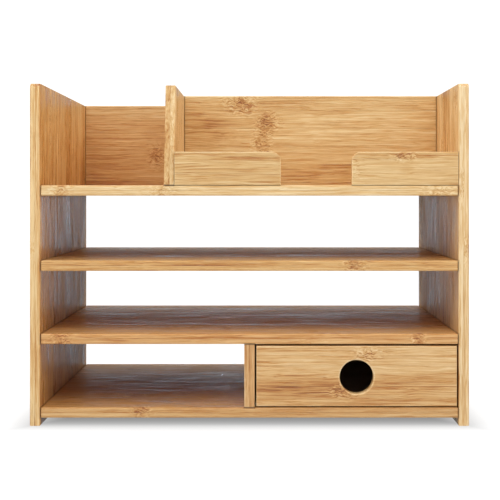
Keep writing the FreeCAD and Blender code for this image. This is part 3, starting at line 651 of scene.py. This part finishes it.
# The floor's glow under the hutch and away from it, and how far in and out of the hutch's outline the
# one turns into the other, in metres. The weaker glow under and close to the hutch is a painted shadow.
FLOOR_RADIUS = 4.0
FLOOR_SHADE = 0.034
FLOOR_GLOW_WITH_PAINTED_SHADOW = (0.3, 0.93)
FLOOR_GREY = (0.12, 0.12, 0.12, 1.0)
FLOOR_ROUGHNESS = 0.85
FLOOR_SPECULAR = 0.1
PAPER_SCALE = (30, 30, 30)
PAPER_ROUGHNESS = 0.05

# The suns: the direction that each shines from, its strength, and its width in degrees.
SUNS = {
    "left": ((-1.0, -0.1, 0.9), 2.0, 50),
    "right": ((1.0, -0.1, 0.9), 1.8, 50),
    "back": ((0.0, 1.0, 1.0), 0.58, 40),
    "front": ((0.0, -1.0, 0.18), 0.3, 30),
    "top": ((0.0, 0.0, 1.0), 0.5, 20),
    "rear": ((0.0, 1.0, 0.0), 2.6, 6),
}
KEY_PLACE = (0.0, -0.95, 1.1)
KEY_TARGET = (0.0, -0.1, 0.17)
KEY_POWER = 6.2
KEY_SIZE = (1.4, 0.7)

# The world: how bright it is to look at, its colour in reflections, and how bright it is in them all
# round, and how much more in front and below.
BACKDROP = 1.12
SHEEN_COLOUR = (0.86, 1.04, 1.2, 1.0)
SHEEN = {"around": 0.76, "front": 0.2, "below": 0.06}
BOUNCE = {"around": 0.1, "front_floor": 0.98}

# How reflections change with the direction they look in: where along the axis, and from what to what.
SOFT_HALF = (-0.15, 0.15, 1.0, 0.0)
SHEEN_ASIDE = (0.08, 0.25, 1.0, 0.6)
SHEEN_HIGH = (0.03, 0.2, 1.25, 0.05)
SHEEN_DEEP = (-0.1, -0.01, 0.6, 1.0)


def make_camera():
    data = bpy.data.cameras.new("camera")
    data.lens = LENS
    data.sensor_width = SENSOR
    data.shift_x, data.shift_y = SHIFT
    camera = bpy.data.objects.new("camera", data)
    front = cad_box[0][1]
    camera.location = (EYE_SIDE, front - EYE_DISTANCE, EYE_HEIGHT)
    camera.rotation_euler = (math.radians(90), 0, 0)
    bpy.context.scene.collection.objects.link(camera)
    bpy.context.scene.camera = camera


def make_floor():
    """White paper that glows, less so under the hutch and close to it: a painted shadow there."""
    material, graph = new_material("studio_floor")
    place = graph.place()
    paper = graph.noise(place, PAPER_SCALE)
    roughness = graph.add(FLOOR_ROUGHNESS, graph.centred(paper, PAPER_ROUGHNESS))
    right, rear, _ = cad_box[1]
    x, y, _ = graph.parts(place)
    beyond_x = graph.minus(graph.math("ABSOLUTE", x), right)
    beyond_y = graph.minus(graph.math("ABSOLUTE", y), rear)
    outwards = graph.math("MAXIMUM", beyond_x, beyond_y)
    # Less glow under and near the hutch: a painted shadow.
    glow_with_painted_shadow = graph.ease(outwards, -FLOOR_SHADE, FLOOR_SHADE, *FLOOR_GLOW_WITH_PAINTED_SHADOW)
    inputs = {
        "Base Color": FLOOR_GREY, "Roughness": roughness, "Specular IOR Level": FLOOR_SPECULAR,
        "Emission Color": WHITE, "Emission Strength": glow_with_painted_shadow,
    }
    shader = graph.node("BsdfPrincipled", inputs)
    graph.node("OutputMaterial", {"Surface": shader})
    bpy.ops.mesh.primitive_circle_add(vertices=96, radius=FLOOR_RADIUS, fill_type="NGON")
    floor = bpy.context.object
    floor.name = "studio_floor"
    floor.location.z = cad_box[0][2]
    floor.data.materials.append(material)
    floor.visible_diffuse = False
    floor.visible_glossy = False


def make_card():
    """A black card under the hutch, which keeps its underside dark."""
    low, high = (Vector(corner) for corner in cad_box)
    material, graph = new_material("black_card")
    shader = graph.node("BsdfDiffuse", {"Color": BLACK})
    graph.node("OutputMaterial", {"Surface": shader})
    bpy.ops.mesh.primitive_plane_add(size=1.0, location=((low + high) / 2).xy.to_3d())
    card = bpy.context.object
    card.name = "black_card"
    card.location.z = low.z - MM
    card.scale = (high.x - low.x, high.y - low.y, 1.0)
    card.data.materials.append(material)
    card.visible_camera = False
    card.visible_glossy = False
    card.visible_shadow = False


def add_light(kind, name, place, target, **settings):
    data = bpy.data.lights.new(name, kind)
    for setting, value in settings.items():
        setattr(data, setting, value)
    light = bpy.data.objects.new(name, data)
    light.location = place
    light.rotation_euler = (Vector(target) - Vector(place)).to_track_quat("-Z", "Y").to_euler()
    bpy.context.scene.collection.objects.link(light)
    return light


def make_lights():
    for name, (place, energy, width) in SUNS.items():
        sun = add_light("SUN", name, place, (0, 0, 0), energy=energy, angle=math.radians(width))
        # The low sun behind the hutch lights its rear without a glint along the shelves.
        sun.visible_glossy = name != "rear"
    long, deep = KEY_SIZE
    add_light(
        "AREA", "key", KEY_PLACE, KEY_TARGET,
        energy=KEY_POWER, shape="RECTANGLE", size=long, size_y=deep,
    )


def make_world():
    """White to look at, cooler and softer in reflections, and as a light only a bounce from the floor
    in front."""
    world = bpy.data.worlds.new("studio")
    bpy.context.scene.world = world
    world.use_nodes = True
    graph = Graph(world.node_tree)
    path = graph.node("LightPath", {}).node
    seen = path.outputs["Is Camera Ray"]
    mirrored = path.outputs["Is Glossy Ray"]
    spread = path.outputs["Is Diffuse Ray"]
    x, y, z = graph.parts(graph.node("TexCoord", {}, "Generated"))
    front = graph.ease(y, *SOFT_HALF)
    below = graph.ease(z, *SOFT_HALF)
    front_floor = graph.times(graph.times(front, below), BOUNCE["front_floor"])
    bounce = graph.add(BOUNCE["around"], front_floor)
    aside = graph.ease(graph.math("ABSOLUTE", x), *SHEEN_ASIDE)
    sheen = graph.add(
        graph.times(aside, SHEEN["around"]),
        graph.times(front, SHEEN["front"]),
        graph.times(below, SHEEN["below"]),
    )
    sheen = graph.times(sheen, graph.ease(z, *SHEEN_HIGH))
    sheen = graph.times(sheen, graph.ease(z, *SHEEN_DEEP))
    strength = graph.add(
        graph.times(seen, BACKDROP), graph.times(mirrored, sheen), graph.times(spread, bounce)
    )
    colour = graph.mix(mirrored, WHITE, SHEEN_COLOUR)
    background = graph.node("Background", {"Color": colour, "Strength": strength})
    graph.node("OutputWorld", {"Surface": background})


def main():
    make_camera()
    dress_all()
    make_floor()
    make_card()
    make_lights()
    make_world()
    bpy.context.scene.view_settings.view_transform = "Standard"


main()
